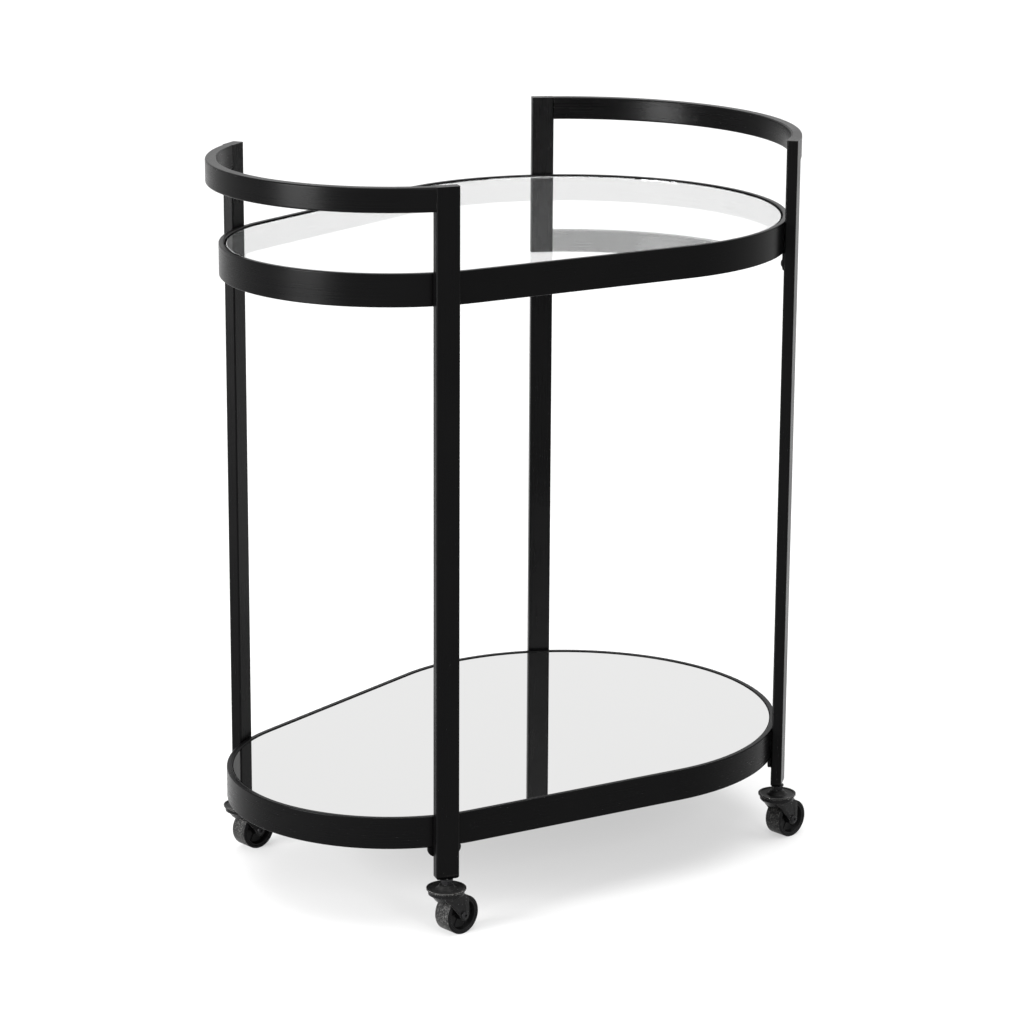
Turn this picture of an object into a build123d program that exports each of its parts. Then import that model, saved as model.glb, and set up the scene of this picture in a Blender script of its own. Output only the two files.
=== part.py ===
from build123d import *
import math
import os

os.makedirs("parts", exist_ok=True)

# A bar cart with two oval shelves, glass above and mirror below, between four flat tube posts
# on swivel casters. Millimetres, +Z up. The origin is on the floor under the middle of the cart,
# and +X points to its wide end. A shelf's outline is two end circles joined by tangent lines.

# Plan of the shelves
NARROW_X = -158.0        # centre of the narrow end's circle
WIDE_X = 104.0
NARROW_R = 178.0
WIDE_R = 232.0
NARROW_TURN = 23.0       # where the posts stand, in degrees from the Y axis towards the end
WIDE_TURN = 34.5

# Shelf rims and the ledges welded inside them
BAND_H = 34.0
BAND_T = 6.0
BAND_EDGE = 1.2
TOP_RIM_Z = 700.0        # upper edges of the rims
LOW_RIM_Z = 129.0
LEDGE_W = 8.0
LEDGE_T = 2.0

# Glass shelf on its pads, mirror shelf on its board
GLASS_T = 5.0
GLASS_GAP = 2.0
GLASS_SINK = 1.5
GLASS_EDGE = 0.6
PAD_D = 6.0
PAD_T = 1.0
MIRROR_T = 4.0
MIRROR_GAP = 1.0
MIRROR_SINK = 1.0
BOARD_T = 3.0

# Flat tube of the posts and handles
TUBE_W = 25.0
TUBE_T = 12.0
TUBE_EDGE = 1.8
WALL = 1.2
STAND_OFF = 0.6          # gap between a rim and a post
POST_TOP = 788.0
POST_END = 67.0          # lower end of the tube, where its end plug begins

# End plug of a post
PLUG_H = 5.0
PLUG_ROUND = 4.4
SPIGOT_H = 12.0
SPIGOT_GAP = 0.1

# Lugs under the rims: width, drop, thickness, corner radius, depth of the screw under the rim
TOP_LUG = (22.0, 20.0, 2.0, 9.0, 12.5)
LOW_LUG = (36.0, 9.8, 3.0, 8.0, 5.0)
LUG_HOLE_R = 2.8

# Shelf screws and the rivet nuts that they enter
SCREW_R = 2.5
SCREW_BITE = 6.5         # length of screw inside the post
HEAD_R = 4.75
HEAD_H = 2.8
HEAD_FLAT_R = 2.4
SOCKET_R = 1.7
SOCKET_DEPTH = 1.6
THREAD_R = 2.53
NUT_R = 3.5
NUT_FLARE_R = 4.4
NUT_FLARE = 2.0
NUT_LENGTH = 7.0
NUT_HOLE_R = 3.52

# Caster: heights above the floor and sizes about the stem's axis
STEM_R = 3.0
STEM_TOP = 78.0
STEM_BORE_R = 3.03
SWIVEL_BORE_R = 3.06
KINGPIN_HEAD_R = 5.5
KINGPIN_HEAD_Z = 42.6
KINGPIN_HEAD_H = 2.3
LOCK_NUT_Z = 56.0
LOCK_NUT_H = 4.7
LOCK_NUT_FLAT = 10.0     # across the flats
FLANGE_R = 7.1
FLANGE_H = 1.3
PLATE_R = 21.0
PLATE_Z = 50.1          # lower face of its flat ring
PLATE_T = 1.4
PLATE_TOP = 55.5         # top of its middle boss
BOSS_R = 7.2
BOSS_SLANT = 0.7
DISH_R = 10.6
RISE_R = 16.4
RIM_R = 18.2
RIM_RISE = 0.8
BALL_R = 1.5
BALL_RING_R = 13.5
BALL_Z = 48.55
BALLS = 12
CROWN_R = 19.0
CROWN_Z = 45.0
CROWN_T = 2.0
CROWN_LIP = 1.7
CROWN_LIP_H = 2.6
CROWN_EDGE = 1.2

# Caster: fork, wheel and axle
TRAIL = 14.3             # the axle stands this far behind the stem
WHEEL_R = 21.0
WHEEL_W = 21.0
TYRE_T = 3.5
TYRE_EDGE = 1.2
RIM_T = 3.0
RIM_INSET = 0.5
WEB_T = 3.0
RIBS = 6
RIB_T = 1.6
RIB_W = 11.0
HUB_R = 5.5
HUB_W = 21.8
AXLE_R = 2.5
WHEEL_BORE_R = 2.56
LEG_BORE_R = 2.54
LEG_GAP = 22.4
LEG_T = 1.6
LEG_END_R = 6.0
LEG_TOP_X = 13.5         # half the length of a leg where it leaves the crown
LEG_BACK_Z = 38.5        # top of a leg's upright back edge
LEG_FRONT = ((-11.0, 42.0), (-6.0, 38.0))
SHOULDER_Z = 46.5
BOWL_R = 11.5            # lower edge of the bowl under the front of the crown
BOWL_Z = 38.5
BOWL_T = 2.0
BOWL_ARC = 150.0         # degrees round the front
AXLE_HEAD_R = 4.2
AXLE_HEAD_H = 2.0
AXLE_HEAD_FLAT_R = 2.6
AXLE_NUT_FLAT = 8.0
AXLE_NUT_H = 4.0
AXLE_TAIL = 0.6

# Worked out from the dimensions above
POST_REACH = STAND_OFF + TUBE_T / 2
TOP_LEDGE_Z = TOP_RIM_Z - GLASS_SINK - GLASS_T - PAD_T
LOW_LEDGE_Z = LOW_RIM_Z - MIRROR_SINK - MIRROR_T - BOARD_T
LUGS = ((TOP_RIM_Z - BAND_H, TOP_LUG), (LOW_RIM_Z - BAND_H, LOW_LUG))
LEG_OUT = LEG_GAP / 2 + LEG_T


def outward(turn, side_x, side_y):
    """Unit vector that points out of the cart at a post."""
    angle = math.radians(turn)
    return (side_x * math.sin(angle), side_y * math.cos(angle))


# Corner name: centre of its end circle, that circle's radius, the outward direction
CORNERS = {
    "front_left": (NARROW_X, NARROW_R, outward(NARROW_TURN, -1, -1)),
    "back_left": (NARROW_X, NARROW_R, outward(NARROW_TURN, -1, 1)),
    "back_right": (WIDE_X, WIDE_R, outward(WIDE_TURN, 1, 1)),
    "front_right": (WIDE_X, WIDE_R, outward(WIDE_TURN, 1, -1)),
}


def corner_point(corner, reach, z):
    """Point at a corner, reach outwards from the rim's outer face."""
    centre_x, radius, out = CORNERS[corner]
    return (centre_x + (radius + reach) * out[0], (radius + reach) * out[1], z)


def level_plane(corner, z):
    """Level plane on a post's axis: local X runs along the rim, local Y points out of the cart."""
    out = CORNERS[corner][2]
    return Plane(corner_point(corner, POST_REACH, z), x_dir=(out[1], -out[0], 0), z_dir=(0, 0, 1))


def facing_plane(corner, reach, z):
    """Upright plane whose normal points out of the cart, with local Y up."""
    out = CORNERS[corner][2]
    return Plane(corner_point(corner, reach, z), x_dir=(-out[1], out[0], 0), z_dir=(*out, 0))


def section_plane(corner, reach, z):
    """Upright plane through the end circle's axis: local X points out of the cart, local Y up."""
    out = CORNERS[corner][2]
    return Plane(corner_point(corner, reach, z), x_dir=(*out, 0), z_dir=(out[1], -out[0], 0))


def caster_plane(corner, z):
    """Level plane on a caster's stem, with local X pointing at its wheel."""
    x, y, _ = corner_point(corner, POST_REACH, 0)
    return Plane((x, y, z))


def side_plane(corner, along_x, along_y):
    """Upright plane seen from the front: local X is +X, local Y is up, on the floor."""
    x, y, _ = corner_point(corner, POST_REACH, 0)
    return Plane((x + along_x, y + along_y, 0), x_dir=(1, 0, 0), z_dir=(0, -1, 0))


def stem_axis(corner):
    """Vertical axis of a caster's stem."""
    return Axis(corner_point(corner, POST_REACH, 0), (0, 0, 1))


def axle_axis(corner):
    """Axis of a caster's axle."""
    x, y, _ = corner_point(corner, POST_REACH, 0)
    return Axis((x + TRAIL, y, WHEEL_R), (0, 1, 0))


def save(piece, name):
    """Label a finished piece and write its STEP file."""
    piece.part.label = name
    export_step(piece.part, f"parts/{name}.step")


def oval(inset):
    """A shelf's outline, moved inwards by inset."""
    small = NARROW_R - inset
    large = WIDE_R - inset
    tilt = math.asin((WIDE_R - NARROW_R) / (WIDE_X - NARROW_X))
    near_x, near_y = NARROW_X - small * math.sin(tilt), small * math.cos(tilt)
    far_x, far_y = WIDE_X - large * math.sin(tilt), large * math.cos(tilt)
    with BuildSketch() as outline:
        with BuildLine():
            Line((near_x, -near_y), (far_x, -far_y))
            ThreePointArc((far_x, -far_y), (WIDE_X + large, 0), (far_x, far_y))
            Line((far_x, far_y), (near_x, near_y))
            ThreePointArc((near_x, near_y), (NARROW_X - small, 0), (near_x, -near_y))
        make_face()
    return outline.sketch


def make_slab(name, inset, bottom, thickness, edge=0):
    """Oval sheet, with softened edges where edge is given."""
    outline = oval(inset)
    with BuildPart() as slab:
        with BuildSketch(Plane.XY.offset(bottom)):
            add(outline)
        extrude(amount=thickness)
        if edge:
            fillet(slab.faces().sort_by(Axis.Z)[-1].edges(), edge)
            fillet(slab.faces().sort_by(Axis.Z)[0].edges(), edge)
    save(slab, name)


def make_ring(name, inset, width, top, height, edge=0):
    """Oval ring of rectangular section, with softened edges where edge is given."""
    outer = oval(inset)
    inner = oval(inset + width)
    with BuildPart() as ring:
        with BuildSketch(Plane.XY.offset(top - height)):
            add(outer)
            add(inner, mode=Mode.SUBTRACT)
        extrude(amount=height)
        if edge:
            fillet(ring.faces().sort_by(Axis.Z)[-1].edges(), edge)
            fillet(ring.faces().sort_by(Axis.Z)[0].edges(), edge)
    save(ring, name)


def make_pads():
    """Clear discs on the upper ledge, under the glass: four along each end's arc."""
    inset = BAND_T + LEDGE_W / 2 + 0.5
    with BuildPart() as pads:
        with BuildSketch(Plane.XY.offset(TOP_LEDGE_Z)):
            with Locations((WIDE_X, 0)):
                with PolarLocations(WIDE_R - inset, 4, start_angle=-84, angular_range=168, endpoint=True):
                    Circle(PAD_D / 2)
            with Locations((NARROW_X, 0)):
                with PolarLocations(NARROW_R - inset, 4, start_angle=120, angular_range=120, endpoint=True):
                    Circle(PAD_D / 2)
        extrude(amount=PAD_T)
    save(pads, "glass_pads")


def make_post(corner):
    """Upright tube, closed on top, with a hole for a rivet nut at each shelf."""
    with BuildPart() as post:
        with BuildSketch(level_plane(corner, POST_END)):
            RectangleRounded(TUBE_W, TUBE_T, TUBE_EDGE)
        extrude(amount=POST_TOP - POST_END)
        with BuildSketch(level_plane(corner, POST_END)):
            RectangleRounded(TUBE_W - 2 * WALL, TUBE_T - 2 * WALL, TUBE_EDGE - WALL / 2)
        extrude(amount=POST_TOP - POST_END - WALL, mode=Mode.SUBTRACT)
        for rim_bottom, (_, _, _, _, depth) in LUGS:
            with BuildSketch(facing_plane(corner, STAND_OFF, rim_bottom - depth)):
                Circle(NUT_HOLE_R)
            extrude(amount=WALL, mode=Mode.SUBTRACT)
    save(post, f"post_{corner}")


def make_handle(name, start, end):
    """Bent tube from one post round the end of the cart to the other, butted against both."""
    centre_x, _, out = CORNERS[start]
    middle = POST_TOP - TUBE_W / 2
    sweep = 2 * math.degrees(math.acos(abs(out[0])))
    with BuildPart() as handle:
        with BuildSketch(section_plane(start, POST_REACH, middle)):
            RectangleRounded(TUBE_T, TUBE_W, TUBE_EDGE)
            RectangleRounded(TUBE_T - 2 * WALL, TUBE_W - 2 * WALL, TUBE_EDGE - WALL / 2, mode=Mode.SUBTRACT)
        revolve(axis=Axis((centre_x, 0, 0), (0, 0, 1)), revolution_arc=sweep)
        for corner in (start, end):
            with BuildSketch(level_plane(corner, POST_TOP - TUBE_W)):
                Rectangle(TUBE_W, 2 * TUBE_T)
            extrude(amount=TUBE_W, mode=Mode.SUBTRACT)
    save(handle, name)


def make_lugs(name, rim_bottom, sizes):
    """Tabs under a rim, one against each post's inner face."""
    width, drop, thickness, corner_r, depth = sizes
    with BuildPart() as lugs:
        for corner in CORNERS:
            with BuildSketch(facing_plane(corner, STAND_OFF - thickness, rim_bottom)) as tab:
                Rectangle(width, drop, align=(Align.CENTER, Align.MAX))
                fillet(tab.vertices().group_by(Axis.Y)[0], corner_r)
                with Locations((0, -depth)):
                    Circle(LUG_HOLE_R, mode=Mode.SUBTRACT)
            extrude(amount=thickness)
    save(lugs, name)


def make_screw(corner, z, thickness):
    """Button head screw from inside the cart through a lug into the post."""
    seat = STAND_OFF - thickness
    out = CORNERS[corner][2]
    with BuildPart() as screw:
        with BuildSketch(section_plane(corner, seat, z)):
            with BuildLine():
                Line((-HEAD_H, 0), (-HEAD_H, HEAD_FLAT_R))
                ThreePointArc((-HEAD_H, HEAD_FLAT_R), (-HEAD_H * 0.6, HEAD_R * 0.84), (0, HEAD_R))
                Polyline((0, HEAD_R), (0, SCREW_R), (thickness + SCREW_BITE, SCREW_R),
                         (thickness + SCREW_BITE, 0), (-HEAD_H, 0))
            make_face()
        revolve(axis=Axis(corner_point(corner, seat, z), (*out, 0)))
        with BuildSketch(facing_plane(corner, seat - HEAD_H, z)):
            RegularPolygon(SOCKET_R, 6)
        extrude(amount=SOCKET_DEPTH, mode=Mode.SUBTRACT)
    return screw.part


def make_rivet_nut(corner, z):
    """Threaded insert, flared behind the tube's wall."""
    out = CORNERS[corner][2]
    with BuildPart() as nut:
        with BuildSketch(section_plane(corner, STAND_OFF, z)):
            with BuildLine():
                Polyline((0, THREAD_R), (0, NUT_R), (WALL, NUT_R), (WALL, NUT_FLARE_R),
                         (WALL + NUT_FLARE, NUT_FLARE_R), (WALL + NUT_FLARE, NUT_R),
                         (NUT_LENGTH, NUT_R), (NUT_LENGTH, THREAD_R), (0, THREAD_R))
            make_face()
        revolve(axis=Axis(corner_point(corner, STAND_OFF, z), (*out, 0)))
    return nut.part


def make_end_plug(corner):
    """Plug in a post's lower end, rounded underneath, with a threaded hole for the caster."""
    foot = POST_END - PLUG_H
    with BuildPart() as plug:
        with BuildSketch(level_plane(corner, foot)):
            RectangleRounded(TUBE_W, TUBE_T, TUBE_EDGE)
        extrude(amount=PLUG_H)
        with BuildSketch(facing_plane(corner, 0, foot)) as front:
            Rectangle(TUBE_W, PLUG_H, align=(Align.CENTER, Align.MIN))
            fillet(front.vertices().group_by(Axis.Y)[0], PLUG_ROUND)
        extrude(amount=2 * TUBE_T, mode=Mode.INTERSECT)
        with BuildSketch(section_plane(corner, POST_REACH, foot)) as end:
            Rectangle(TUBE_T, PLUG_H, align=(Align.CENTER, Align.MIN))
            fillet(end.vertices().group_by(Axis.Y)[0], PLUG_ROUND)
        extrude(amount=TUBE_W, both=True, mode=Mode.INTERSECT)
        with BuildSketch(level_plane(corner, POST_END)):
            RectangleRounded(TUBE_W - 2 * (WALL + SPIGOT_GAP), TUBE_T - 2 * (WALL + SPIGOT_GAP),
                             TUBE_EDGE - WALL / 2)
        extrude(amount=SPIGOT_H)
        with BuildSketch(level_plane(corner, foot)):
            Circle(STEM_BORE_R)
        extrude(amount=PLUG_H + SPIGOT_H, mode=Mode.SUBTRACT)
    return plug.part


def gather(name, pieces):
    """Save separate solids as one node."""
    with BuildPart() as group:
        add(pieces)
    save(group, name)


def make_stem(corner):
    """Threaded stem with a riveted head under the fork's crown."""
    head_top = KINGPIN_HEAD_Z + KINGPIN_HEAD_H
    with BuildPart() as stem:
        with BuildSketch(side_plane(corner, 0, 0)):
            with BuildLine():
                Line((0, KINGPIN_HEAD_Z), (KINGPIN_HEAD_R / 2, KINGPIN_HEAD_Z))
                ThreePointArc((KINGPIN_HEAD_R / 2, KINGPIN_HEAD_Z),
                              (KINGPIN_HEAD_R * 0.86, KINGPIN_HEAD_Z + KINGPIN_HEAD_H / 3),
                              (KINGPIN_HEAD_R, head_top))
                Polyline((KINGPIN_HEAD_R, head_top), (STEM_R, head_top), (STEM_R, STEM_TOP),
                         (0, STEM_TOP), (0, KINGPIN_HEAD_Z))
            make_face()
        revolve(axis=stem_axis(corner))
        chamfer(stem.edges().sort_by(Axis.Z)[-1], STEM_R / 5)
    save(stem, f"stem_{corner}")


def make_lock_nut(corner):
    """Hexagon nut on the stem, with its flange against the post's end plug."""
    with BuildPart() as nut:
        with BuildSketch(caster_plane(corner, LOCK_NUT_Z)):
            RegularPolygon(LOCK_NUT_FLAT / 2, 6, major_radius=False)
        extrude(amount=LOCK_NUT_H)
        with BuildSketch(caster_plane(corner, LOCK_NUT_Z + LOCK_NUT_H)):
            Circle(FLANGE_R)
        extrude(amount=FLANGE_H)
        with BuildSketch(caster_plane(corner, LOCK_NUT_Z)):
            Circle(STEM_BORE_R)
        extrude(amount=LOCK_NUT_H + FLANGE_H, mode=Mode.SUBTRACT)
    save(nut, f"lock_nut_{corner}")


def make_top_plate(corner):
    """Dished pressing that stays still on the stem and roofs the ball race."""
    with BuildPart() as plate:
        with BuildSketch(side_plane(corner, 0, 0)):
            with BuildLine():
                Polyline((STEM_BORE_R, PLATE_TOP), (BOSS_R, PLATE_TOP), (DISH_R, PLATE_Z + PLATE_T),
                         (RISE_R, PLATE_Z + PLATE_T), (RIM_R, PLATE_Z + PLATE_T + RIM_RISE),
                         (PLATE_R, PLATE_Z + PLATE_T + RIM_RISE), (PLATE_R, PLATE_Z + RIM_RISE),
                         (RIM_R, PLATE_Z + RIM_RISE), (RISE_R, PLATE_Z), (DISH_R - BOSS_SLANT, PLATE_Z),
                         (BOSS_R - BOSS_SLANT, PLATE_TOP - PLATE_T), (STEM_BORE_R, PLATE_TOP - PLATE_T),
                         (STEM_BORE_R, PLATE_TOP))
            make_face()
        revolve(axis=stem_axis(corner))
    save(plate, f"top_plate_{corner}")


def make_ball_race(corner):
    """Ring of steel balls between the top plate and the fork's crown."""
    x, y, _ = corner_point(corner, POST_REACH, 0)
    with BuildPart() as balls:
        with Locations((x, y, BALL_Z)):
            with PolarLocations(BALL_RING_R, BALLS):
                Sphere(BALL_R)
    save(balls, f"ball_race_{corner}")


def make_fork(corner):
    """Pressed fork: crown with an upturned lip, a bowl under its front and two legs."""
    crown_top = CROWN_Z + CROWN_T
    lip_r = CROWN_R - CROWN_LIP
    lip_top = crown_top + CROWN_LIP_H
    bowl_top_r = CROWN_R - BOWL_T / 2
    stem_point = corner_point(corner, POST_REACH, 0)
    half_arc = math.radians(BOWL_ARC / 2)
    bowl_start = (-math.cos(half_arc), math.sin(half_arc), 0)
    with BuildPart() as fork:
        with BuildSketch(side_plane(corner, 0, LEG_OUT)):
            with BuildLine():
                Polyline((TRAIL + LEG_END_R, WHEEL_R), (TRAIL + LEG_END_R, LEG_BACK_Z),
                         (LEG_TOP_X, SHOULDER_Z), (-LEG_TOP_X, SHOULDER_Z), *LEG_FRONT,
                         (TRAIL - LEG_END_R, WHEEL_R))
                ThreePointArc((TRAIL - LEG_END_R, WHEEL_R), (TRAIL, WHEEL_R - LEG_END_R),
                              (TRAIL + LEG_END_R, WHEEL_R))
            make_face()
            with Locations((TRAIL, WHEEL_R)):
                Circle(LEG_BORE_R, mode=Mode.SUBTRACT)
        extrude(amount=2 * LEG_OUT)
        with BuildSketch(side_plane(corner, 0, LEG_GAP / 2)):
            with Locations((TRAIL, WHEEL_R)):
                Rectangle(4 * CROWN_R, 2 * (CROWN_Z - WHEEL_R))
        extrude(amount=LEG_GAP, mode=Mode.SUBTRACT)
        with BuildSketch(Plane(stem_point, x_dir=bowl_start, z_dir=(bowl_start[1], -bowl_start[0], 0))):
            with BuildLine():
                Polyline((BOWL_R, BOWL_Z), (bowl_top_r, SHOULDER_Z), (bowl_top_r - BOWL_T, SHOULDER_Z),
                         (BOWL_R - BOWL_T, BOWL_Z), (BOWL_R, BOWL_Z))
            make_face()
        revolve(axis=stem_axis(corner), revolution_arc=BOWL_ARC)
        with BuildSketch(side_plane(corner, 0, 0)):
            with BuildLine():
                Polyline((0, CROWN_Z), (0, crown_top), (lip_r, crown_top), (lip_r, lip_top),
                         (CROWN_R, lip_top), (CROWN_R, crown_top - CROWN_EDGE),
                         (CROWN_R - CROWN_EDGE, CROWN_Z), (0, CROWN_Z))
            make_face()
        revolve(axis=stem_axis(corner))
        with BuildSketch(caster_plane(corner, CROWN_Z)):
            Circle(SWIVEL_BORE_R)
        extrude(amount=CROWN_T, mode=Mode.SUBTRACT)
    save(fork, f"fork_{corner}")


def make_wheel_core(corner):
    """Moulded wheel: hub, thin web with ribs, and the rim that carries the tyre."""
    rim_r = WHEEL_R - TYRE_T
    rim_w = WHEEL_W - 2 * RIM_INSET
    with BuildPart() as core:
        with BuildSketch(side_plane(corner, TRAIL, HUB_W / 2)):
            with Locations((0, WHEEL_R)):
                Circle(HUB_R)
        extrude(amount=HUB_W)
        with BuildSketch(side_plane(corner, TRAIL, rim_w / 2)):
            with Locations((0, WHEEL_R)):
                Circle(rim_r)
                Circle(rim_r - RIM_T, mode=Mode.SUBTRACT)
        extrude(amount=rim_w)
        with BuildSketch(side_plane(corner, TRAIL, WEB_T / 2)):
            with Locations((0, WHEEL_R)):
                Circle(rim_r - RIM_T / 2)
        extrude(amount=WEB_T)
        with BuildSketch(side_plane(corner, TRAIL, RIB_W / 2)):
            with Locations((0, WHEEL_R)):
                with PolarLocations((rim_r - RIM_T / 2) / 2, RIBS):
                    Rectangle(rim_r - RIM_T / 2, RIB_T)
        extrude(amount=RIB_W)
        with BuildSketch(side_plane(corner, TRAIL, HUB_W / 2)):
            with Locations((0, WHEEL_R)):
                Circle(WHEEL_BORE_R)
        extrude(amount=HUB_W, mode=Mode.SUBTRACT)
    save(core, f"wheel_core_{corner}")


def make_tyre(corner):
    """Tread ring round the wheel, with softened shoulders."""
    with BuildPart() as tyre:
        with BuildSketch(side_plane(corner, TRAIL, WHEEL_W / 2)):
            with Locations((0, WHEEL_R)):
                Circle(WHEEL_R)
        extrude(amount=WHEEL_W)
        fillet(tyre.edges().filter_by(GeomType.CIRCLE), TYRE_EDGE)
        with BuildSketch(side_plane(corner, TRAIL, WHEEL_W / 2)):
            with Locations((0, WHEEL_R)):
                Circle(WHEEL_R - TYRE_T)
        extrude(amount=WHEEL_W, mode=Mode.SUBTRACT)
    save(tyre, f"tyre_{corner}")


def make_axle_bolt(corner):
    """Axle: a button head screw through both legs and the hub."""
    head_y = -LEG_OUT - AXLE_HEAD_H
    tail_y = LEG_OUT + AXLE_NUT_H + AXLE_TAIL
    x, y, _ = corner_point(corner, POST_REACH, 0)
    with BuildPart() as bolt:
        with BuildSketch(Plane((x + TRAIL, y, WHEEL_R), x_dir=(0, 1, 0), z_dir=(1, 0, 0))):
            with BuildLine():
                Line((head_y, 0), (head_y, AXLE_HEAD_FLAT_R))
                ThreePointArc((head_y, AXLE_HEAD_FLAT_R), (head_y + AXLE_HEAD_H * 0.35, AXLE_HEAD_R * 0.86),
                              (-LEG_OUT, AXLE_HEAD_R))
                Polyline((-LEG_OUT, AXLE_HEAD_R), (-LEG_OUT, AXLE_R), (tail_y, AXLE_R), (tail_y, 0),
                         (head_y, 0))
            make_face()
        revolve(axis=axle_axis(corner))
        with BuildSketch(side_plane(corner, TRAIL, head_y)):
            with Locations((0, WHEEL_R)):
                RegularPolygon(SOCKET_R, 6)
        extrude(amount=-SOCKET_DEPTH, mode=Mode.SUBTRACT)
    save(bolt, f"axle_bolt_{corner}")


def make_axle_nut(corner):
    """Hexagon nut on the axle's far end."""
    with BuildPart() as nut:
        with BuildSketch(side_plane(corner, TRAIL, LEG_OUT)):
            with Locations((0, WHEEL_R)):
                RegularPolygon(AXLE_NUT_FLAT / 2, 6, major_radius=False)
                Circle(THREAD_R, mode=Mode.SUBTRACT)
        extrude(amount=-AXLE_NUT_H)
    save(nut, f"axle_nut_{corner}")


make_ring("top_rim", 0, BAND_T, TOP_RIM_Z, BAND_H, BAND_EDGE)
make_ring("bottom_rim", 0, BAND_T, LOW_RIM_Z, BAND_H, BAND_EDGE)
make_ring("top_ledge", BAND_T, LEDGE_W, TOP_LEDGE_Z, LEDGE_T)
make_ring("bottom_ledge", BAND_T, LEDGE_W, LOW_LEDGE_Z, LEDGE_T)
make_slab("glass_shelf", BAND_T + GLASS_GAP, TOP_LEDGE_Z + PAD_T, GLASS_T, GLASS_EDGE)
make_slab("mirror_board", BAND_T + MIRROR_GAP, LOW_LEDGE_Z, BOARD_T)
make_slab("mirror_shelf", BAND_T + MIRROR_GAP, LOW_LEDGE_Z + BOARD_T, MIRROR_T)
make_pads()
make_handle("handle_left", "back_left", "front_left")
make_handle("handle_right", "front_right", "back_right")
make_lugs("top_lugs", *LUGS[0])
make_lugs("bottom_lugs", *LUGS[1])
gather("shelf_screws", [make_screw(corner, rim_bottom - sizes[4], sizes[2])
                        for corner in CORNERS for rim_bottom, sizes in LUGS])
gather("rivet_nuts", [make_rivet_nut(corner, rim_bottom - sizes[4])
                      for corner in CORNERS for rim_bottom, sizes in LUGS])
gather("post_end_plugs", [make_end_plug(corner) for corner in CORNERS])
for corner_name in CORNERS:
    make_post(corner_name)
    make_stem(corner_name)
    make_lock_nut(corner_name)
    make_top_plate(corner_name)
    make_ball_race(corner_name)
    make_fork(corner_name)
    make_wheel_core(corner_name)
    make_tyre(corner_name)
    make_axle_bolt(corner_name)
    make_axle_nut(corner_name)
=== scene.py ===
import math

import bmesh
import bpy
from bpy.props import FloatProperty, FloatVectorProperty, IntProperty
from mathutils import Matrix, Vector


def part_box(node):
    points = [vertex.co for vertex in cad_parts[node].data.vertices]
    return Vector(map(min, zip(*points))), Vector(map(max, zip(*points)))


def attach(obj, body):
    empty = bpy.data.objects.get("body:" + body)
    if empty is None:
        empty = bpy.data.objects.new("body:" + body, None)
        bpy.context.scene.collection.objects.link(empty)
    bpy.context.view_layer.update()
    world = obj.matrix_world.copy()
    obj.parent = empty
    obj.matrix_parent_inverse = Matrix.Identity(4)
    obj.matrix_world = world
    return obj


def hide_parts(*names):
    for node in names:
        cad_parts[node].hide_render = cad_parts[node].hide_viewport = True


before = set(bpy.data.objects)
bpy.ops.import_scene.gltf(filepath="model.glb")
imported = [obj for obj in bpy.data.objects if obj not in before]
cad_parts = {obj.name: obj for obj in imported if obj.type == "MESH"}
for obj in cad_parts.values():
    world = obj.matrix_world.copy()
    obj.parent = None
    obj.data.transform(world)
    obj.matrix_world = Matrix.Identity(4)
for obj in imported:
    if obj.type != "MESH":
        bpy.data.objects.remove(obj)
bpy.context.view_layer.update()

bl_info = {
    "name": "Oval Bar Cart",
    "version": (1, 0, 0),
    "blender": (4, 5, 0),
    "location": "3D View > Sidebar > Cart",
    "description": "Finishes an oval bar cart: coated tube, glass, mirror, casters and stage",
    "category": "Object",
}

MM = 0.001
CORNERS = ("front_left", "back_left", "back_right", "front_right")
LEVEL_STREAKS = (7.0, 7.0, 380.0)
UPRIGHT_STREAKS = (380.0, 380.0, 7.0)
ENAMEL_BLACK = (0.0015, 0.0015, 0.0018)
ENAMEL_WORN = (0.16, 0.155, 0.15)
PLATE_BLACK = (0.0008, 0.0008, 0.0010)
# Bright metal on the plates' lips: a painted highlight.
PLATE_LIP_HIGHLIGHT = (0.80, 0.79, 0.77)
OXIDE_BLACK = (0.004, 0.004, 0.005)
OXIDE_WORN = (0.07, 0.069, 0.067)
ZINC_DULL = (0.46, 0.46, 0.45)
ZINC_BRIGHT = (0.66, 0.66, 0.64)
BOARD_DARK = (0.018, 0.017, 0.016)
BOARD_FIBRE = (0.06, 0.055, 0.05)
BUMPER_CLOUDY = (0.72, 0.74, 0.74)
BUMPER_CLEAR = (0.86, 0.88, 0.88)
TREAD_BLACK = (0.0015, 0.0015, 0.0018)
TREAD_SCUFFED = (0.075, 0.074, 0.072)
NYLON_BLACK = (0.0012, 0.0012, 0.0014)
NYLON_WORN = (0.02, 0.0195, 0.019)
MIRROR_DUST = (0.62, 0.62, 0.61)
WHEEL_SIDES = 96
FLOOR_SIZE = 60.0
LEFT_SOFTBOX = {"location": (-2.6, 0.25, 0.95), "aim": (0.0, 0.0, 0.45), "size": 1.1, "power": 160.0}
FRONT_SOFTBOX = {"location": (-0.9, -2.9, 1.7), "aim": (0.0, 0.0, 0.4), "size": 0.8, "power": 40.0}
CEILING_STARTS = 0.80
CEILING_FULL = 0.96


def middle(node):
    """Middle of a CAD node's box, in metres."""
    low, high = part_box(node)
    return (Vector(low) + Vector(high)) / 2


# ---------------------------------------------------------------- sizes and colours

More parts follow.
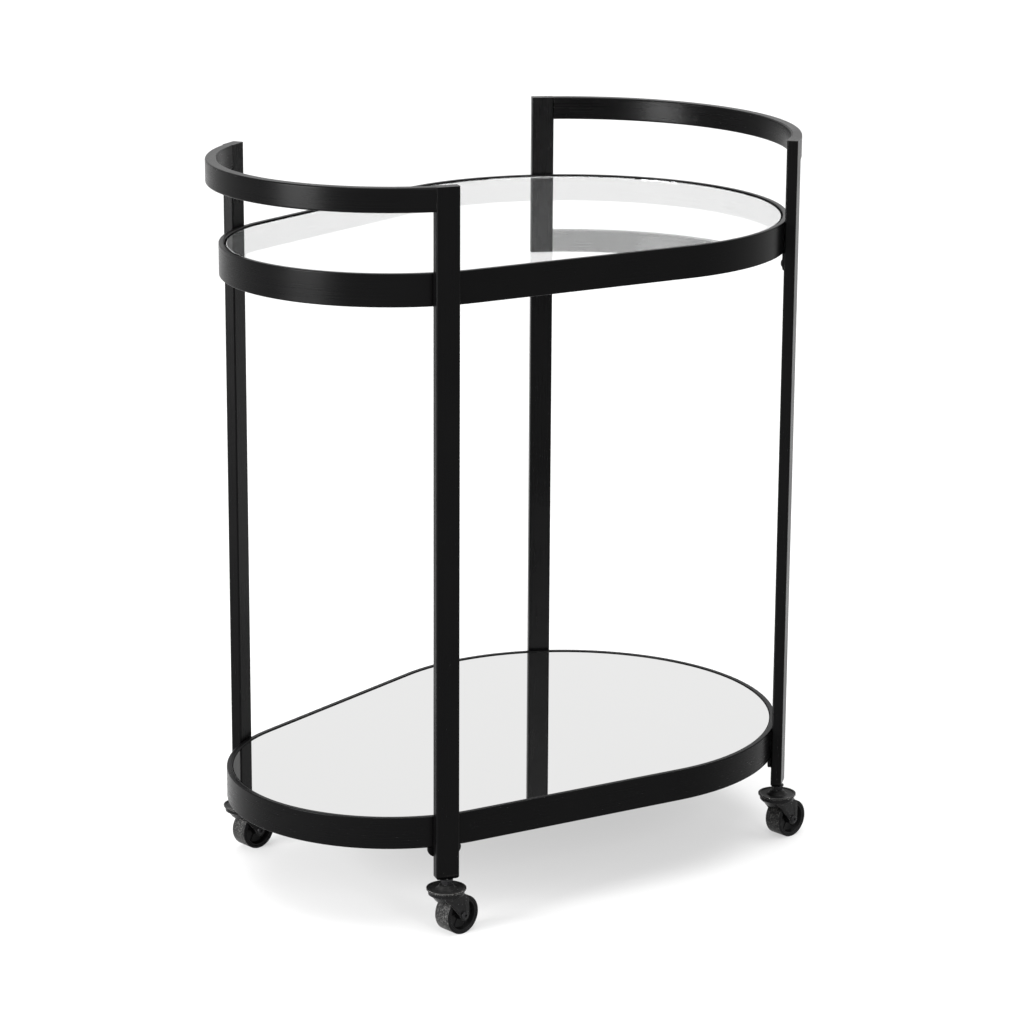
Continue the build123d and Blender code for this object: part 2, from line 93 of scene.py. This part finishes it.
class CoatSettings(bpy.types.PropertyGroup):
    """Powder coat on the tube, bands and lugs."""
    colour: FloatVectorProperty(name="Coat", description="Colour of the black powder coat",
                                subtype="COLOR", default=(0.0009, 0.0009, 0.0010), min=0, max=1)
    # Colour of the lighter edges: partly rubbed wear, partly a painted highlight along the edges.
    worn: FloatVectorProperty(name="Worn coat", description="Colour where edges are rubbed",
                              subtype="COLOR", default=(0.075, 0.072, 0.068), min=0, max=1)
    roughness: FloatProperty(name="Roughness", description="Satin of the coat", default=0.22, min=0, max=1)
    grain: FloatProperty(name="Grain", description="Size of the powder's dimples",
                         default=0.0011, unit="LENGTH")


class PanelSettings(bpy.types.PropertyGroup):
    """Glass and mirror shelves."""
    tint: FloatVectorProperty(name="Glass tint", description="Colour of the glass seen through its face",
                              subtype="COLOR", default=(0.935, 0.943, 0.941), min=0, max=1)
    edge: FloatVectorProperty(name="Glass edge", description="Colour of the glass seen through its edge",
                              subtype="COLOR", default=(0.45, 0.66, 0.60), min=0, max=1)
    silver: FloatVectorProperty(name="Silver", description="Colour of the mirror",
                                subtype="COLOR", default=(0.715, 0.715, 0.712), min=0, max=1)


class CasterSettings(bpy.types.PropertyGroup):
    """Sizes of the casters' visible pieces."""
    wheel_radius: FloatProperty(name="Wheel radius", description="Radius of the tread",
                                default=middle("tyre_front_left").z, unit="LENGTH")
    wheel_width: FloatProperty(name="Wheel width", description="Width of the tread",
                               default=21 * MM, unit="LENGTH")
    tyre_depth: FloatProperty(name="Tyre depth", description="Thickness of the tyre",
                              default=3.5 * MM, unit="LENGTH")
    bore: FloatProperty(name="Axle bore", description="Radius of the hole for the axle",
                        default=2.56 * MM, unit="LENGTH")
    ribs: IntProperty(name="Ribs", description="Ribs on each side of the wheel", default=6, min=3, max=12)
    plate_radius: FloatProperty(name="Plate radius", description="Radius of the dished top plate",
                                default=21 * MM, unit="LENGTH")
    fork_edge: FloatProperty(name="Fork edge", description="Rounding of the pressed fork's edges",
                             default=0.45 * MM, unit="LENGTH")


class StageSettings(bpy.types.PropertyGroup):
    """Floor, lights and camera."""
    eye: FloatVectorProperty(name="Eye", description="Place of the camera", subtype="TRANSLATION",
                             default=(-2.5413, -2.7864, 1.4028))
    turn: FloatProperty(name="Turn", description="Camera turned from the +Y direction",
                        default=-0.7424, subtype="ANGLE")
    tilt: FloatProperty(name="Tilt", description="Camera tilted from level", default=-0.2649, subtype="ANGLE")
    roll: FloatProperty(name="Roll", description="Camera rolled about its line of sight",
                        default=0.0058, subtype="ANGLE")
    lens: FloatProperty(name="Lens", description="Focal length in millimetres", default=126.14)
    floor: FloatVectorProperty(name="Floor", description="Colour of the floor", subtype="COLOR",
                               default=(0.27, 0.27, 0.27), min=0, max=1)
    walls: FloatProperty(name="Walls", description="Light from the studio's walls", default=1.08)
    ceiling: FloatProperty(name="Ceiling", description="Light from the studio's ceiling", default=7.0)


# ---------------------------------------------------------------- shader nodes

class Wire:
    """A shader socket that takes part in sums."""

    def __init__(self, paint, socket):
        self.paint = paint
        self.socket = socket

    def __add__(self, other):
        return self.paint.sum("ADD", self, other)

    def __radd__(self, other):
        return self.paint.sum("ADD", other, self)

    def __sub__(self, other):
        return self.paint.sum("SUBTRACT", self, other)

    def __rsub__(self, other):
        return self.paint.sum("SUBTRACT", other, self)

    def __mul__(self, other):
        return self.paint.sum("MULTIPLY", self, other)

    def __rmul__(self, other):
        return self.paint.sum("MULTIPLY", other, self)

    def __abs__(self):
        return self.paint.sum("ABSOLUTE", self, 0.0)


class Paint:
    """A material being mixed."""

    def __init__(self, name):
        self.material = bpy.data.materials.new(name)
        self.material.use_nodes = True
        self.tree = self.material.node_tree
        self.tree.nodes.clear()
        self.place = self.node("ShaderNodeTexCoord", out="Object")

    def node(self, kind, settings=None, sockets=None, out=0):
        """Add a node: its settings first, then its sockets' values or links; returns one output."""
        node = self.tree.nodes.new(kind)
        for key, value in (settings or {}).items():
            setattr(node, key, value)
        for key, value in (sockets or {}).items():
            if isinstance(value, Wire):
                self.tree.links.new(value.socket, node.inputs[key])
            else:
                node.inputs[key].default_value = value
        return Wire(self, node.outputs[out])

    def sum(self, operation, first, second):
        """One step of arithmetic on values."""
        return self.node("ShaderNodeMath", {"operation": operation}, {0: first, 1: second})

    def stretch(self, scale):
        """Object coordinates, scaled differently along each axis."""
        return self.node("ShaderNodeMapping", None, {"Vector": self.place, "Scale": scale})

    def noise(self, size, detail=2.0, rough=0.5, where=None):
        """Soft noise between 0 and 1 whose blobs are about size metres across."""
        sockets = {"Vector": where or self.place, "Scale": 1 / size, "Detail": detail, "Roughness": rough}
        return self.node("ShaderNodeTexNoise", None, sockets, "Fac")

    def between(self, value, low, high):
        """0 below low, 1 above high, smooth between them."""
        sockets = {"Value": value, "From Min": low, "From Max": high, "To Min": 0.0, "To Max": 1.0}
        return self.node("ShaderNodeMapRange", {"interpolation_type": "SMOOTHSTEP"}, sockets)

    def blend(self, amount, first, second):
        """Mix of two colours."""
        first = first if isinstance(first, Wire) else (*first, 1.0)
        second = second if isinstance(second, Wire) else (*second, 1.0)
        return self.node("ShaderNodeMix", {"data_type": "RGBA"}, {0: amount, 6: first, 7: second}, 2)

    def edges(self, reach):
        """1 on outer corners within reach metres, 0 on flat stretches."""
        rounded = self.node("ShaderNodeBevel", {"samples": 4}, {"Radius": reach})
        plain = self.node("ShaderNodeNewGeometry", out="Normal")
        facing = self.node("ShaderNodeVectorMath", {"operation": "DOT_PRODUCT"},
                           {0: rounded, 1: plain}, "Value")
        return self.between(1 - facing, 0.01, 0.22)

    def upright(self):
        """1 on upright faces, 0 on level ones."""
        normal = self.node("ShaderNodeNewGeometry", out="Normal")
        height = self.node("ShaderNodeSeparateXYZ", None, {0: normal}, "Z")
        return 1 - abs(height)

    def dimples(self, height, strength, depth):
        """Normal from a height."""
        return self.node("ShaderNodeBump", None, {"Height": height, "Strength": strength, "Distance": depth})

    def finish(self, **sockets):
        """Join everything to one shader and return the material."""
        shader = self.tree.nodes.new("ShaderNodeBsdfPrincipled")
        for key, value in sockets.items():
            socket = shader.inputs[key.replace("_", " ")]
            if isinstance(value, Wire):
                self.tree.links.new(value.socket, socket)
            else:
                socket.default_value = (*value, 1.0) if isinstance(value, tuple) else value
        output = self.tree.nodes.new("ShaderNodeOutputMaterial")
        self.tree.links.new(shader.outputs[0], output.inputs[0])
        return self.material


# ---------------------------------------------------------------- finishes

def powder_coat(name, coat, grain_way):
    """Satin black powder coat: fine dimples, streaks along the tube from wiping, and lighter edges that are
    partly rubbed wear and partly a painted highlight.
    """
    paint = Paint(name)
    powder = paint.noise(coat.grain, 3.0)
    cloud = paint.noise(0.07, 2.0)
    streak = paint.noise(1.0, 4.0, 0.6, where=paint.stretch(grain_way))
    # Lighter coat at the corners: partly rubbed wear, partly a painted highlight along the edges.
    rubbed = paint.edges(0.9 * MM) * paint.between(paint.noise(0.012, 4.0), 0.35, 0.7)
    tone = 0.30 * rubbed + 0.008 * cloud + 0.006 * streak
    return paint.finish(
        Base_Color=paint.blend(tone, tuple(coat.colour), tuple(coat.worn)),
        Roughness=coat.roughness + 0.12 * cloud + 0.10 * (streak - 0.5) - 0.06 * rubbed,
        Normal=paint.dimples(powder + 0.3 * streak, 0.12, 0.12 * MM),
        Specular_IOR_Level=0.05,
    )


def pressed_black(name):
    """Thin black enamel on the casters' pressed steel, with lighter worn lips."""
    paint = Paint(name)
    cloud = paint.noise(0.006, 3.0)
    scratch = paint.noise(1.0, 2.0, where=paint.stretch((900.0, 160.0, 120.0)))
    rubbed = paint.edges(0.6 * MM) * paint.between(cloud, 0.3, 0.6)
    tone = 0.7 * rubbed + 0.04 * cloud * scratch
    return paint.finish(
        Base_Color=paint.blend(tone, ENAMEL_BLACK, ENAMEL_WORN),
        Roughness=0.20 + 0.10 * cloud + 0.06 * scratch,
        Metallic=0.7 * rubbed,
        Normal=paint.dimples(cloud + 0.4 * scratch, 0.10, 0.15 * MM),
        Specular_IOR_Level=0.10,
    )


def rolled_plate(name):
    """Black enamel on the dished plates, with a painted highlight of bright metal on their rolled lips."""
    paint = Paint(name)
    cloud = paint.noise(0.005, 3.0)
    # Painted highlight: bright metal on the rolled lips, in place of the glossy rim's reflection of the
    # lamps.
    lip_highlight = paint.edges(0.6 * MM) * paint.between(cloud, 0.22, 0.45)
    return paint.finish(
        Base_Color=paint.blend(lip_highlight + 0.02 * cloud, PLATE_BLACK, PLATE_LIP_HIGHLIGHT),
        Roughness=0.24 + 0.12 * cloud - 0.14 * lip_highlight,
        Metallic=lip_highlight,
        Normal=paint.dimples(cloud, 0.10, 0.12 * MM),
        Specular_IOR_Level=0.03,
    )


def black_oxide(name):
    """Oiled black screws and nuts."""
    paint = Paint(name)
    cloud = paint.noise(0.0025, 3.0)
    rubbed = paint.edges(0.35 * MM)
    return paint.finish(
        Base_Color=paint.blend(0.5 * rubbed + 0.2 * cloud, OXIDE_BLACK, OXIDE_WORN),
        Roughness=0.24 + 0.16 * cloud,
        Metallic=0.15 + 0.4 * rubbed,
        Normal=paint.dimples(cloud, 0.2, 0.05 * MM),
        Specular_IOR_Level=0.10,
    )


def bright_steel(name):
    """Zinc plated steel of stems, inserts and balls."""
    paint = Paint(name)
    cloud = paint.noise(0.004, 3.0)
    turned_marks = paint.noise(1.0, 2.0, where=paint.stretch((150.0, 150.0, 2200.0)))
    return paint.finish(
        Base_Color=paint.blend(cloud, ZINC_DULL, ZINC_BRIGHT),
        Roughness=0.24 + 0.16 * cloud + 0.06 * turned_marks,
        Metallic=1.0,
        Normal=paint.dimples(turned_marks, 0.2, 0.05 * MM),
    )


def clear_glass(name, tint, edge):
    """Float glass: clear through its face, green through its edge, with faint wiping marks.
    Its clear coat strengthens the reflection at low angles."""
    paint = Paint(name)
    smear = paint.noise(1.0, 4.0, 0.6, where=paint.stretch((5.0, 9.0, 9.0)))
    return paint.finish(
        Base_Color=paint.blend(paint.between(paint.upright(), 0.3, 0.8), tint, edge),
        Roughness=0.004 + 0.012 * paint.between(smear, 0.55, 0.8),
        Transmission_Weight=0.965,
        IOR=1.5,
        Coat_Weight=1.0,
        Coat_Roughness=0.0,
        Coat_IOR=1.6,
    )


def silvered(name, silver):
    """Mirror, with the lightest film of dust."""
    paint = Paint(name)
    film = paint.between(paint.noise(0.16, 4.0), 0.5, 0.9)
    dust = paint.between(paint.noise(0.0016, 1.0), 0.74, 0.80)
    return paint.finish(
        Base_Color=paint.blend(0.06 * film + 0.1 * dust, silver, MIRROR_DUST),
        Roughness=0.012 + 0.010 * film + 0.05 * dust,
        Metallic=1.0,
    )


def fibre_board(name):
    """Dark painted fibre board behind the mirror."""
    paint = Paint(name)
    fibre = paint.noise(0.0011, 4.0, 0.7)
    cloud = paint.noise(0.05, 2.0)
    return paint.finish(
        Base_Color=paint.blend(0.6 * cloud + 0.3 * fibre, BOARD_DARK, BOARD_FIBRE),
        Roughness=0.7 + 0.2 * fibre,
        Normal=paint.dimples(fibre, 0.5, 0.1 * MM),
    )


def clear_bumper(name):
    """Soft clear pads under the glass."""
    paint = Paint(name)
    cloud = paint.noise(0.002, 2.0)
    return paint.finish(
        Base_Color=paint.blend(cloud, BUMPER_CLOUDY, BUMPER_CLEAR),
        Roughness=0.22 + 0.2 * cloud,
        Normal=paint.dimples(cloud, 0.15, 0.1 * MM),
        Transmission_Weight=0.6,
        IOR=1.45,
    )


def worn_tread(name):
    """Hard grey tread, scuffed pale along the running surface."""
    paint = Paint(name)
    scuff = paint.noise(0.0014, 5.0, 0.7)
    across = paint.noise(1.0, 3.0, where=paint.stretch((260.0, 900.0, 260.0)))
    normal = paint.node("ShaderNodeNewGeometry", out="Normal")
    sideways = abs(paint.node("ShaderNodeSeparateXYZ", None, {0: normal}, "Y"))
    running = 1 - paint.between(sideways, 0.25, 0.8)
    pale = paint.between(scuff + 0.35 * (across - 0.5), 0.47, 0.64)
    return paint.finish(
        Base_Color=paint.blend(running * (0.04 + 0.96 * pale), TREAD_BLACK, TREAD_SCUFFED),
        Roughness=0.38 + 0.35 * pale,
        Normal=paint.dimples(scuff + 0.5 * across, 0.4, 0.2 * MM),
        Specular_IOR_Level=0.10,
    )


def moulded_black(name):
    """Black nylon wheel centre with a fine moulded grain."""
    paint = Paint(name)
    grain = paint.noise(0.0008, 3.0)
    cloud = paint.noise(0.008, 2.0)
    rubbed = paint.edges(0.5 * MM)
    return paint.finish(
        Base_Color=paint.blend(0.15 * cloud + 0.4 * rubbed, NYLON_BLACK, NYLON_WORN),
        Roughness=0.30 + 0.2 * cloud,
        Normal=paint.dimples(grain, 0.25, 0.06 * MM),
        Specular_IOR_Level=0.12,
    )


def studio_floor(name, colour):
    """Pale painted floor."""
    paint = Paint(name)
    cloud = paint.noise(0.6, 3.0)
    darker = tuple(0.985 * part for part in colour)
    return paint.finish(Base_Color=paint.blend(cloud, colour, darker), Roughness=0.9 + 0.05 * cloud,
                        Specular_IOR_Level=0.1, Emission_Color=(1.0, 1.0, 1.0), Emission_Strength=0.5)


def once(name, recipe):
    """A finish that several pieces share, mixed the first time it is asked for."""
    return bpy.data.materials.get(name) or recipe(name)


def cover(nodes, material):
    """Give CAD nodes a finish."""
    for node in nodes:
        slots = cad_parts[node].data.materials
        slots.clear()
        slots.append(material)


def every(kind):
    """A kind of caster piece, at each corner."""
    return [f"{kind}_{corner}" for corner in CORNERS]


# ---------------------------------------------------------------- modelling

def fresh():
    """Object mode with nothing selected."""
    if bpy.context.object and bpy.context.object.mode != "OBJECT":
        bpy.ops.object.mode_set(mode="OBJECT")
    bpy.ops.object.select_all(action="DESELECT")


def hold(piece):
    """Select one piece and nothing else."""
    fresh()
    piece.select_set(True)
    bpy.context.view_layer.objects.active = piece


def pick(piece, wanted):
    """In edit mode, select only the faces that wanted accepts."""
    bpy.context.tool_settings.mesh_select_mode = (False, False, True)
    bpy.ops.mesh.select_all(action="DESELECT")
    mesh = bmesh.from_edit_mesh(piece.data)
    for face in mesh.faces:
        face.select_set(wanted(face))
    bmesh.update_edit_mesh(piece.data)


def turned(radius, length, top, bottom, bore=False, sides=64):
    """Round piece along Z about the origin. Each end is shaped by (inset, push) steps; with bore,
    what is left in the middle of both ends is opened into one hole."""
    fresh()
    bpy.ops.mesh.primitive_cylinder_add(vertices=sides, radius=radius, depth=length)
    piece = bpy.context.object
    bpy.ops.object.mode_set(mode="EDIT")
    caps = []
    for side, steps in ((1, top), (-1, bottom)):
        pick(piece, lambda face: face.normal.z * side > 0.9)
        for inset, push in steps:
            bpy.ops.mesh.inset(thickness=inset, depth=push)
        mesh = bmesh.from_edit_mesh(piece.data)
        caps += [face.calc_center_median() for face in mesh.faces if face.select]
    if bore:
        pick(piece, lambda face: len(face.verts) == sides
             and any((face.calc_center_median() - cap).length < 1e-6 for cap in caps))
        bpy.ops.mesh.delete(type="FACE")
        bpy.context.tool_settings.mesh_select_mode = (False, True, False)
        bpy.ops.mesh.select_all(action="DESELECT")
        bpy.ops.mesh.select_non_manifold()
        bpy.ops.mesh.bridge_edge_loops()
    bpy.ops.mesh.select_all(action="SELECT")
    bpy.ops.mesh.normals_make_consistent(inside=False)
    bpy.ops.object.mode_set(mode="OBJECT")
    return piece


def soften(piece, width, angle=35.0, segments=2):
    """Round the corners sharper than angle and shade the rest smooth."""
    hold(piece)
    bevel = piece.modifiers.new("corners", "BEVEL")
    bevel.width = width
    bevel.segments = segments
    bevel.limit_method = "ANGLE"
    bevel.angle_limit = math.radians(angle)
    bpy.ops.object.modifier_apply(modifier=bevel.name)
    bpy.ops.object.shade_smooth_by_angle(angle=math.radians(angle))


def settle(piece, location=(0, 0, 0), rotation=(0, 0, 0)):
    """Turn and place a piece, then move that into its mesh."""
    hold(piece)
    piece.rotation_euler = rotation
    piece.location = location
    bpy.ops.object.transform_apply(location=True, rotation=True, scale=True)


def copy_to(piece, offset):
    """A copy with its own mesh, moved by offset."""
    twin = piece.copy()
    twin.data = piece.data.copy()
    bpy.context.scene.collection.objects.link(twin)
    settle(twin, offset)
    return twin


def keep(piece, name, body, material, nodes=()):
    """Name a finished piece, give it its finish and its body, and hide the CAD nodes that it stands for."""
    piece.name = name
    piece.data.name = name
    piece.data.materials.clear()
    piece.data.materials.append(material)
    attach(piece, body)
    if nodes:
        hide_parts(*nodes)


def copied(node):
    """A merged copy of a CAD node, its flat faces whole again."""
    piece = bpy.data.objects.new(node + "_copy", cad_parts[node].data.copy())
    bpy.context.scene.collection.objects.link(piece)
    hold(piece)
    bpy.ops.mesh.customdata_custom_splitnormals_clear()
    bpy.ops.object.mode_set(mode="EDIT")
    bpy.ops.mesh.select_all(action="SELECT")
    bpy.ops.mesh.remove_doubles(threshold=1e-6)
    bpy.ops.mesh.dissolve_limited(angle_limit=math.radians(1))
    bpy.ops.object.mode_set(mode="OBJECT")
    return piece


def to_corners(piece, kind, name, body, material, nodes, above=0.0):
    """Copy a piece modelled about the origin to each corner's CAD node of that kind."""
    for corner in CORNERS:
        target = middle(f"{kind}_{corner}")
        twin = copy_to(piece, (target.x, target.y, target.z + above))
        keep(twin, f"{name}_{corner}", f"{body}_{corner}" if body != "frame" else body, material,
             [f"{node}_{corner}" for node in nodes])
    bpy.data.objects.remove(piece)


# ---------------------------------------------------------------- operators

class CART_OT_coat(bpy.types.Operator):
    """Coat the rims, ledges, posts, handles, lugs and plugs."""
    bl_idname = "cart.coat"
    bl_label = "Powder Coat"

    def execute(self, context):
        coat = context.scene.cart_coat
        level = powder_coat("level powder coat", coat, LEVEL_STREAKS)
        upright = powder_coat("upright powder coat", coat, UPRIGHT_STREAKS)
        cover(["top_rim", "bottom_rim", "top_ledge", "bottom_ledge", "handle_left", "handle_right"], level)
        cover(["top_lugs", "bottom_lugs", "post_end_plugs"] + every("post"), upright)
        return {"FINISHED"}


class CART_OT_panels(bpy.types.Operator):
    """Finish the glass shelf, its pads, the mirror and its board."""
    bl_idname = "cart.panels"
    bl_label = "Glass and Mirror"

    def execute(self, context):
        panels = context.scene.cart_panels
        cover(["glass_shelf"], clear_glass("float glass", tuple(panels.tint), tuple(panels.edge)))
        cover(["mirror_shelf"], silvered("mirror silver", tuple(panels.silver)))
        cover(["mirror_board"], fibre_board("fibre board"))
        cover(["glass_pads"], clear_bumper("clear bumper"))
        return {"FINISHED"}


class CART_OT_hardware(bpy.types.Operator):
    """Finish the screws, nuts, inserts, stems and balls."""
    bl_idname = "cart.hardware"
    bl_label = "Hardware"

    def execute(self, context):
        dark = once("black oxide", black_oxide)
        steel = once("zinc steel", bright_steel)
        cover(["shelf_screws"] + every("lock_nut") + every("axle_bolt") + every("axle_nut"), dark)
        cover(["rivet_nuts"] + every("stem") + every("ball_race"), steel)
        return {"FINISHED"}


class CART_OT_forks(bpy.types.Operator):
    """Round the edges of the casters' pressed forks."""
    bl_idname = "cart.forks"
    bl_label = "Forks"

    def execute(self, context):
        enamel = once("pressed black", pressed_black)
        for corner in CORNERS:
            piece = copied(f"fork_{corner}")
            soften(piece, context.scene.cart_casters.fork_edge)
            keep(piece, f"fork_pressing_{corner}", f"swivel_{corner}", enamel,
                 [f"fork_{corner}"])
        return {"FINISHED"}


class CART_OT_top_plates(bpy.types.Operator):
    """Model the dished top plates with their rolled rims and raised bosses."""
    bl_idname = "cart.top_plates"
    bl_label = "Top Plates"

    def execute(self, context):
        radius = context.scene.cart_casters.plate_radius
        stem = 3.03 * MM
        thickness = 1.7 * MM
        rise = 3.2 * MM
        stepped = 13.8 * MM
        above = ((1.6 * MM, 0.0), (1.6 * MM, -0.9 * MM), (6.0 * MM, -0.2 * MM), (2.4 * MM, 1.2 * MM),
                 (1.6 * MM, 2.6 * MM), (0.6 * MM, 0.4 * MM), (radius - stem - stepped, 0.0))
        below = ((2.2 * MM, 0.0), (1.8 * MM, 0.5 * MM), (6.8 * MM, 0.0), (3.0 * MM, -3.8 * MM),
                 (radius - stem - stepped, 0.0))
        piece = turned(radius, thickness, above, below, bore=True)
        soften(piece, 0.35 * MM, 20.0, 3)
        low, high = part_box("top_plate_front_left")
        above_middle = high.z - rise - thickness / 2 - (low.z + high.z) / 2
        to_corners(piece, "top_plate", "top_plate_pressing", "frame",
                   rolled_plate("rolled plate"), ["top_plate"], above_middle)
        return {"FINISHED"}


class CART_OT_wheels(bpy.types.Operator):
    """Model the wheels: a scuffed tyre with side beads and a dished, ribbed centre."""
    bl_idname = "cart.wheels"
    bl_label = "Wheels"

    def execute(self, context):
        sizes = context.scene.cart_casters
        rim = sizes.wheel_radius - sizes.tyre_depth
        self.tyres(sizes)
        self.centres(sizes, rim)
        return {"FINISHED"}

    def tyres(self, sizes):
        """Tread with rounded shoulders and a bead proud of each side."""
        bead = 0.35 * MM
        stepped = 3.0 * MM
        side = ((1.1 * MM, 0.0), (0.5 * MM, bead), (1.1 * MM, 0.0), (0.3 * MM, -0.6 * MM),
                (sizes.tyre_depth - stepped, 0.0))
        piece = turned(sizes.wheel_radius, sizes.wheel_width - 2 * bead, side, side,
                       bore=True, sides=WHEEL_SIDES)
        soften(piece, 0.45 * MM, 25.0, 3)
        settle(piece, rotation=(math.radians(90), 0, 0))
        to_corners(piece, "tyre", "tread", "wheel", worn_tread("worn tread"), ["tyre"])

    def centres(self, sizes, rim):
        """Dished disc with a hub, ribs joined across it."""
        hub = 5.5 * MM
        dish = 5.6 * MM
        stepped = 3.3 * MM
        rib_width = 1.3 * MM
        rib_drop = 10.0 * MM
        width = sizes.wheel_width - 1.0 * MM
        side = ((1.3 * MM, 0.0), (1.2 * MM, -dish), (rim - hub - stepped, -0.4 * MM),
                (0.8 * MM, dish + 1.3 * MM), (hub - sizes.bore, 0.0))
        piece = turned(rim, width, side, side, bore=True, sides=WHEEL_SIDES)
        soften(piece, 0.3 * MM, 30.0)
        fresh()
        span = rim - hub - 1.6 * MM
        bpy.ops.mesh.primitive_cube_add(size=1, location=(hub + span / 2 + 0.2 * MM, 0, 0))
        rib = bpy.context.object
        rib.scale = (span, rib_width, width - rib_drop)
        bpy.ops.object.transform_apply(location=True, rotation=True, scale=True)
        soften(rib, 0.3 * MM)
        parts = [piece]
        for number in range(sizes.ribs):
            twin = rib.copy()
            twin.data = rib.data.copy()
            bpy.context.scene.collection.objects.link(twin)
            settle(twin, rotation=(0, 0, math.tau * number / sizes.ribs))
            parts.append(twin)
        bpy.data.objects.remove(rib)
        hold(piece)
        for part in parts:
            part.select_set(True)
        bpy.ops.object.join()
        settle(piece, rotation=(math.radians(90), 0, 0))
        to_corners(piece, "wheel_core", "wheel_centre", "wheel",
                   moulded_black("moulded black"), ["wheel_core"])


class CART_OT_stage(bpy.types.Operator):
    """Lay the floor, light it softly and set the camera."""
    bl_idname = "cart.stage"
    bl_label = "Stage"

    def execute(self, context):
        stage = context.scene.cart_stage
        fresh()
        bpy.ops.mesh.primitive_plane_add(size=FLOOR_SIZE)
        floor = bpy.context.object
        floor.name = "studio_floor"
        floor.data.materials.append(studio_floor("studio floor", tuple(stage.floor)))
        self.room(context, stage.walls, stage.ceiling)
        self.softbox("left softbox", **LEFT_SOFTBOX)
        self.softbox("front softbox", **FRONT_SOFTBOX)
        self.camera(context, stage)
        context.scene.view_settings.view_transform = "Standard"
        return {"FINISHED"}

    def room(self, context, walls, ceiling):
        """White room whose ceiling is brighter than its walls."""
        world = bpy.data.worlds.new("studio room")
        world.use_nodes = True
        tree = world.node_tree
        way = tree.nodes.new("ShaderNodeTexCoord")
        split = tree.nodes.new("ShaderNodeSeparateXYZ")
        ramp = tree.nodes.new("ShaderNodeMapRange")
        ramp.interpolation_type = "SMOOTHSTEP"
        for key, value in (("From Min", CEILING_STARTS), ("From Max", CEILING_FULL),
                           ("To Min", walls), ("To Max", ceiling)):
            ramp.inputs[key].default_value = value
        tree.links.new(way.outputs["Generated"], split.inputs[0])
        tree.links.new(split.outputs["Z"], ramp.inputs["Value"])
        tree.links.new(ramp.outputs[0], tree.nodes["Background"].inputs["Strength"])
        tree.nodes["Background"].inputs["Color"].default_value = (1, 1, 1, 1)
        context.scene.world = world

    def softbox(self, name, location, aim, size, power):
        """Square area light pointed at aim."""
        light = bpy.data.lights.new(name, "AREA")
        light.size = size
        light.energy = power
        lamp = bpy.data.objects.new(name, light)
        lamp.location = location
        lamp.rotation_euler = (Vector(aim) - Vector(location)).to_track_quat("-Z", "Y").to_euler()
        bpy.context.scene.collection.objects.link(lamp)

    def camera(self, context, stage):
        """Camera at eye height beside the narrow end, looking down a little."""
        data = bpy.data.cameras.new("cart camera")
        data.lens = stage.lens
        data.clip_end = 100
        camera = bpy.data.objects.new("cart camera", data)
        camera.matrix_world = (Matrix.Translation(stage.eye) @ Matrix.Rotation(stage.turn, 4, "Z")
                               @ Matrix.Rotation(math.pi / 2 + stage.tilt, 4, "X")
                               @ Matrix.Rotation(stage.roll, 4, "Z"))
        context.scene.collection.objects.link(camera)
        context.scene.camera = camera


STEPS = (CART_OT_coat, CART_OT_panels, CART_OT_hardware, CART_OT_forks, CART_OT_top_plates,
         CART_OT_wheels, CART_OT_stage)


class CART_PT_panel(bpy.types.Panel):
    """Buttons and settings for the cart."""
    bl_label = "Bar Cart"
    bl_idname = "CART_PT_panel"
    bl_space_type = "VIEW_3D"
    bl_region_type = "UI"
    bl_category = "Cart"

    def draw(self, context):
        for step in STEPS:
            self.layout.operator(step.bl_idname)
        for group in SETTINGS:
            box = self.layout.box()
            for key in group[1].__annotations__:
                box.prop(getattr(context.scene, group[0]), key)


SETTINGS = (("cart_coat", CoatSettings), ("cart_panels", PanelSettings),
            ("cart_casters", CasterSettings), ("cart_stage", StageSettings))
CLASSES = tuple(group for _, group in SETTINGS) + STEPS + (CART_PT_panel,)


def register():
    for item in CLASSES:
        bpy.utils.register_class(item)
    for key, group in SETTINGS:
        setattr(bpy.types.Scene, key, bpy.props.PointerProperty(type=group))


def unregister():
    for key, _ in SETTINGS:
        delattr(bpy.types.Scene, key)
    for item in reversed(CLASSES):
        bpy.utils.unregister_class(item)


def main():
    """Make everything in order."""
    register()
    for step in STEPS:
        group, action = step.bl_idname.split(".")
        getattr(getattr(bpy.ops, group), action)()


if __name__ == "__main__":
    main()
